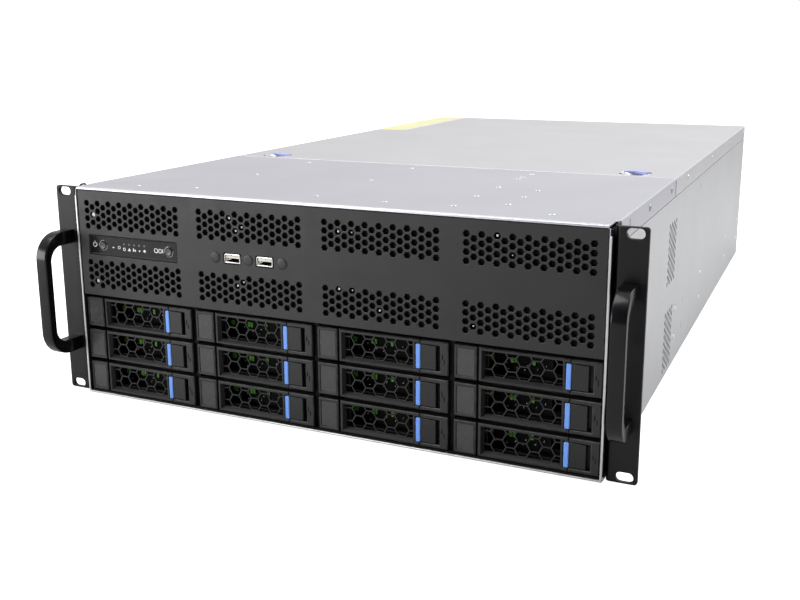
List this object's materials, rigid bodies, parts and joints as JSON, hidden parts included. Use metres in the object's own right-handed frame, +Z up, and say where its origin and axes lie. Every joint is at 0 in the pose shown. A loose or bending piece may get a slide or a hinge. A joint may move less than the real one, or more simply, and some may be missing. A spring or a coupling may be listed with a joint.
{
  "type": "nas enclosure",
  "caption": "4U rack-mount storage server case with a perforated black front, hot-swap drive trays under it, bow handles on rack ears, fixed front cover and sliding rear lid.",
  "frame": {"origin": "middle of the whole object's footprint, on the surface that the case rests on", "axes": "+X to the right seen from the front, +Y from the front to the rear, +Z up"},
  "size_m": [0.4826, 0.823, 0.177],
  "materials": {
    "zinc_steel": "galvanised sheet, satin, faint grain and rolling marks",
    "black_steel": "fine-textured black powder coat, satin",
    "satin_black": "smooth black anodised, satin with soft highlights",
    "black_plastic": "moulded, fine spark texture",
    "gloss_black": "polished black",
    "blue_plastic": "smooth blue touch parts",
    "board_green": "solder-masked circuit board",
    "bright_steel": "nickel-plated screws, rivets and socket shells",
    "contact_gold": "gold-flashed contacts",
    "label_yellow": "plain vinyl sticker",
    "pale_plastic": "off-white connector plastic"
  },
  "bodies": {
    "case": {"base_pan": "zinc_steel", "front_cover": "zinc_steel", "rear_panel": "zinc_steel", "ear_left": "black_steel", "ear_right": "black_steel", "handle_left": "satin_black", "handle_right": "satin_black", "grille_panel": "black_steel", "control_panel": "gloss_black", "usb_port_left": "bright_steel", "usb_port_right": "bright_steel", "drive_cage": "zinc_steel", "backplane": "board_green", "fan_wall": "black_plastic", "main_board": "board_green", "power_supply": "zinc_steel"},
    "rear_lid": {"rear_lid": "zinc_steel"},
    "lid_latch_left": {"lid_latch_left": "blue_plastic"},
    "lid_latch_right": {"lid_latch_right": "blue_plastic"},
    "power_button": {"power_button": "gloss_black"},
    "identify_button": {"identify_button": "gloss_black"},
    "impeller_1": {"impeller_1": "black_plastic"},
    "impeller_2": {"impeller_2": "black_plastic"},
    "impeller_3": {"impeller_3": "black_plastic"},
    "tray_1_1": {"tray_1_1": "black_plastic"},
    "lever_1_1": {"lever_1_1": "black_plastic"},
    "latch_1_1": {"latch_1_1": "blue_plastic"},
    "tray_1_2": {"tray_1_2": "black_plastic"},
    "lever_1_2": {"lever_1_2": "black_plastic"},
    "latch_1_2": {"latch_1_2": "blue_plastic"},
    "tray_1_3": {"tray_1_3": "black_plastic"},
    "lever_1_3": {"lever_1_3": "black_plastic"},
    "latch_1_3": {"latch_1_3": "blue_plastic"},
    "tray_1_4": {"tray_1_4": "black_plastic"},
    "lever_1_4": {"lever_1_4": "black_plastic"},
    "latch_1_4": {"latch_1_4": "blue_plastic"},
    "tray_2_1": {"tray_2_1": "black_plastic"},
    "lever_2_1": {"lever_2_1": "black_plastic"},
    "latch_2_1": {"latch_2_1": "blue_plastic"},
    "tray_2_2": {"tray_2_2": "black_plastic"},
    "lever_2_2": {"lever_2_2": "black_plastic"},
    "latch_2_2": {"latch_2_2": "blue_plastic"},
    "tray_2_3": {"tray_2_3": "black_plastic"},
    "lever_2_3": {"lever_2_3": "black_plastic"},
    "latch_2_3": {"latch_2_3": "blue_plastic"},
    "tray_2_4": {"tray_2_4": "black_plastic"},
    "lever_2_4": {"lever_2_4": "black_plastic"},
    "latch_2_4": {"latch_2_4": "blue_plastic"},
    "tray_3_1": {"tray_3_1": "black_plastic"},
    "lever_3_1": {"lever_3_1": "black_plastic"},
    "latch_3_1": {"latch_3_1": "blue_plastic"},
    "tray_3_2": {"tray_3_2": "black_plastic"},
    "lever_3_2": {"lever_3_2": "black_plastic"},
    "latch_3_2": {"latch_3_2": "blue_plastic"},
    "tray_3_3": {"tray_3_3": "black_plastic"},
    "lever_3_3": {"lever_3_3": "black_plastic"},
    "latch_3_3": {"latch_3_3": "blue_plastic"},
    "tray_3_4": {"tray_3_4": "black_plastic"},
    "lever_3_4": {"lever_3_4": "black_plastic"},
    "latch_3_4": {"latch_3_4": "blue_plastic"}
  },
  "joints": [
    {"name": "rear_lid_slide", "type": "slide", "parent": "case", "child": "rear_lid", "axis": [0, 1, 0], "range_m": [0, 0.015]},
    {"name": "lid_latch_left_press", "type": "slide", "parent": "rear_lid", "child": "lid_latch_left", "axis": [0, 0, -1], "range_m": [0, 0.002], "stiffness_N_per_m": 1500, "springref_m": -0.0005},
    {"name": "lid_latch_right_press", "type": "slide", "parent": "rear_lid", "child": "lid_latch_right", "axis": [0, 0, -1], "range_m": [0, 0.002], "stiffness_N_per_m": 1500, "springref_m": -0.0005},
    {"name": "power_button_press", "type": "slide", "parent": "case", "child": "power_button", "axis": [0, 1, 0], "range_m": [0, 0.0015], "stiffness_N_per_m": 500},
    {"name": "identify_button_press", "type": "slide", "parent": "case", "child": "identify_button", "axis": [0, 1, 0], "range_m": [0, 0.0015], "stiffness_N_per_m": 500},
    {"name": "impeller_1_spin", "type": "hinge", "parent": "case", "child": "impeller_1", "pos_m": [-0.124, -0.1045, 0.072], "axis": [0, 1, 0], "continuous": true},
    {"name": "impeller_2_spin", "type": "hinge", "parent": "case", "child": "impeller_2", "pos_m": [0, -0.1045, 0.072], "axis": [0, 1, 0], "continuous": true},
    {"name": "impeller_3_spin", "type": "hinge", "parent": "case", "child": "impeller_3", "pos_m": [0.124, -0.1045, 0.072], "axis": [0, 1, 0], "continuous": true},
    {"name": "tray_1_1_slide", "type": "slide", "parent": "case", "child": "tray_1_1", "axis": [0, -1, 0], "range_m": [0, 0.155]},
    {"name": "lever_1_1_swing", "type": "hinge", "parent": "tray_1_1", "child": "lever_1_1", "pos_m": [-0.19575, -0.3756, 0.0706], "axis": [0, 0, -1], "range_deg": [0, 65]},
    {"name": "latch_1_1_slide", "type": "slide", "parent": "tray_1_1", "child": "latch_1_1", "axis": [1, 0, 0], "range_m": [0, 0.003], "stiffness_N_per_m": 300},
    {"name": "tray_1_2_slide", "type": "slide", "parent": "case", "child": "tray_1_2", "axis": [0, -1, 0], "range_m": [0, 0.155]},
    {"name": "lever_1_2_swing", "type": "hinge", "parent": "tray_1_2", "child": "lever_1_2", "pos_m": [-0.08655, -0.3756, 0.0706], "axis": [0, 0, -1], "range_deg": [0, 65]},
    {"name": "latch_1_2_slide", "type": "slide", "parent": "tray_1_2", "child": "latch_1_2", "axis": [1, 0, 0], "range_m": [0, 0.003], "stiffness_N_per_m": 300},
    {"name": "tray_1_3_slide", "type": "slide", "parent": "case", "child": "tray_1_3", "axis": [0, -1, 0], "range_m": [0, 0.155]},
    {"name": "lever_1_3_swing", "type": "hinge", "parent": "tray_1_3", "child": "lever_1_3", "pos_m": [0.02265, -0.3756, 0.0706], "axis": [0, 0, -1], "range_deg": [0, 65]},
    {"name": "latch_1_3_slide", "type": "slide", "parent": "tray_1_3", "child": "latch_1_3", "axis": [1, 0, 0], "range_m": [0, 0.003], "stiffness_N_per_m": 300},
    {"name": "tray_1_4_slide", "type": "slide", "parent": "case", "child": "tray_1_4", "axis": [0, -1, 0], "range_m": [0, 0.155]},
    {"name": "lever_1_4_swing", "type": "hinge", "parent": "tray_1_4", "child": "lever_1_4", "pos_m": [0.13185, -0.3756, 0.0706], "axis": [0, 0, -1], "range_deg": [0, 65]},
    {"name": "latch_1_4_slide", "type": "slide", "parent": "tray_1_4", "child": "latch_1_4", "axis": [1, 0, 0], "range_m": [0, 0.003], "stiffness_N_per_m": 300},
    {"name": "tray_2_1_slide", "type": "slide", "parent": "case", "child": "tray_2_1", "axis": [0, -1, 0], "range_m": [0, 0.155]},
    {"name": "lever_2_1_swing", "type": "hinge", "parent": "tray_2_1", "child": "lever_2_1", "pos_m": [-0.19575, -0.3756, 0.0428], "axis": [0, 0, -1], "range_deg": [0, 65]},
    {"name": "latch_2_1_slide", "type": "slide", "parent": "tray_2_1", "child": "latch_2_1", "axis": [1, 0, 0], "range_m": [0, 0.003], "stiffness_N_per_m": 300},
    {"name": "tray_2_2_slide", "type": "slide", "parent": "case", "child": "tray_2_2", "axis": [0, -1, 0], "range_m": [0, 0.155]},
    {"name": "lever_2_2_swing", "type": "hinge", "parent": "tray_2_2", "child": "lever_2_2", "pos_m": [-0.08655, -0.3756, 0.0428], "axis": [0, 0, -1], "range_deg": [0, 65]},
    {"name": "latch_2_2_slide", "type": "slide", "parent": "tray_2_2", "child": "latch_2_2", "axis": [1, 0, 0], "range_m": [0, 0.003], "stiffness_N_per_m": 300},
    {"name": "tray_2_3_slide", "type": "slide", "parent": "case", "child": "tray_2_3", "axis": [0, -1, 0], "range_m": [0, 0.155]},
    {"name": "lever_2_3_swing", "type": "hinge", "parent": "tray_2_3", "child": "lever_2_3", "pos_m": [0.02265, -0.3756, 0.0428], "axis": [0, 0, -1], "range_deg": [0, 65]},
    {"name": "latch_2_3_slide", "type": "slide", "parent": "tray_2_3", "child": "latch_2_3", "axis": [1, 0, 0], "range_m": [0, 0.003], "stiffness_N_per_m": 300},
    {"name": "tray_2_4_slide", "type": "slide", "parent": "case", "child": "tray_2_4", "axis": [0, -1, 0], "range_m": [0, 0.155]},
    {"name": "lever_2_4_swing", "type": "hinge", "parent": "tray_2_4", "child": "lever_2_4", "pos_m": [0.13185, -0.3756, 0.0428], "axis": [0, 0, -1], "range_deg": [0, 65]},
    {"name": "latch_2_4_slide", "type": "slide", "parent": "tray_2_4", "child": "latch_2_4", "axis": [1, 0, 0], "range_m": [0, 0.003], "stiffness_N_per_m": 300},
    {"name": "tray_3_1_slide", "type": "slide", "parent": "case", "child": "tray_3_1", "axis": [0, -1, 0], "range_m": [0, 0.155]},
    {"name": "lever_3_1_swing", "type": "hinge", "parent": "tray_3_1", "child": "lever_3_1", "pos_m": [-0.19575, -0.3756, 0.015], "axis": [0, 0, -1], "range_deg": [0, 65]},
    {"name": "latch_3_1_slide", "type": "slide", "parent": "tray_3_1", "child": "latch_3_1", "axis": [1, 0, 0], "range_m": [0, 0.003], "stiffness_N_per_m": 300},
    {"name": "tray_3_2_slide", "type": "slide", "parent": "case", "child": "tray_3_2", "axis": [0, -1, 0], "range_m": [0, 0.155]},
    {"name": "lever_3_2_swing", "type": "hinge", "parent": "tray_3_2", "child": "lever_3_2", "pos_m": [-0.08655, -0.3756, 0.015], "axis": [0, 0, -1], "range_deg": [0, 65]},
    {"name": "latch_3_2_slide", "type": "slide", "parent": "tray_3_2", "child": "latch_3_2", "axis": [1, 0, 0], "range_m": [0, 0.003], "stiffness_N_per_m": 300},
    {"name": "tray_3_3_slide", "type": "slide", "parent": "case", "child": "tray_3_3", "axis": [0, -1, 0], "range_m": [0, 0.155]},
    {"name": "lever_3_3_swing", "type": "hinge", "parent": "tray_3_3", "child": "lever_3_3", "pos_m": [0.02265, -0.3756, 0.015], "axis": [0, 0, -1], "range_deg": [0, 65]},
    {"name": "latch_3_3_slide", "type": "slide", "parent": "tray_3_3", "child": "latch_3_3", "axis": [1, 0, 0], "range_m": [0, 0.003], "stiffness_N_per_m": 300},
    {"name": "tray_3_4_slide", "type": "slide", "parent": "case", "child": "tray_3_4", "axis": [0, -1, 0], "range_m": [0, 0.155]},
    {"name": "lever_3_4_swing", "type": "hinge", "parent": "tray_3_4", "child": "lever_3_4", "pos_m": [0.13185, -0.3756, 0.015], "axis": [0, 0, -1], "range_deg": [0, 65]},
    {"name": "latch_3_4_slide", "type": "slide", "parent": "tray_3_4", "child": "latch_3_4", "axis": [1, 0, 0], "range_m": [0, 0.003], "stiffness_N_per_m": 300}
  ]
}
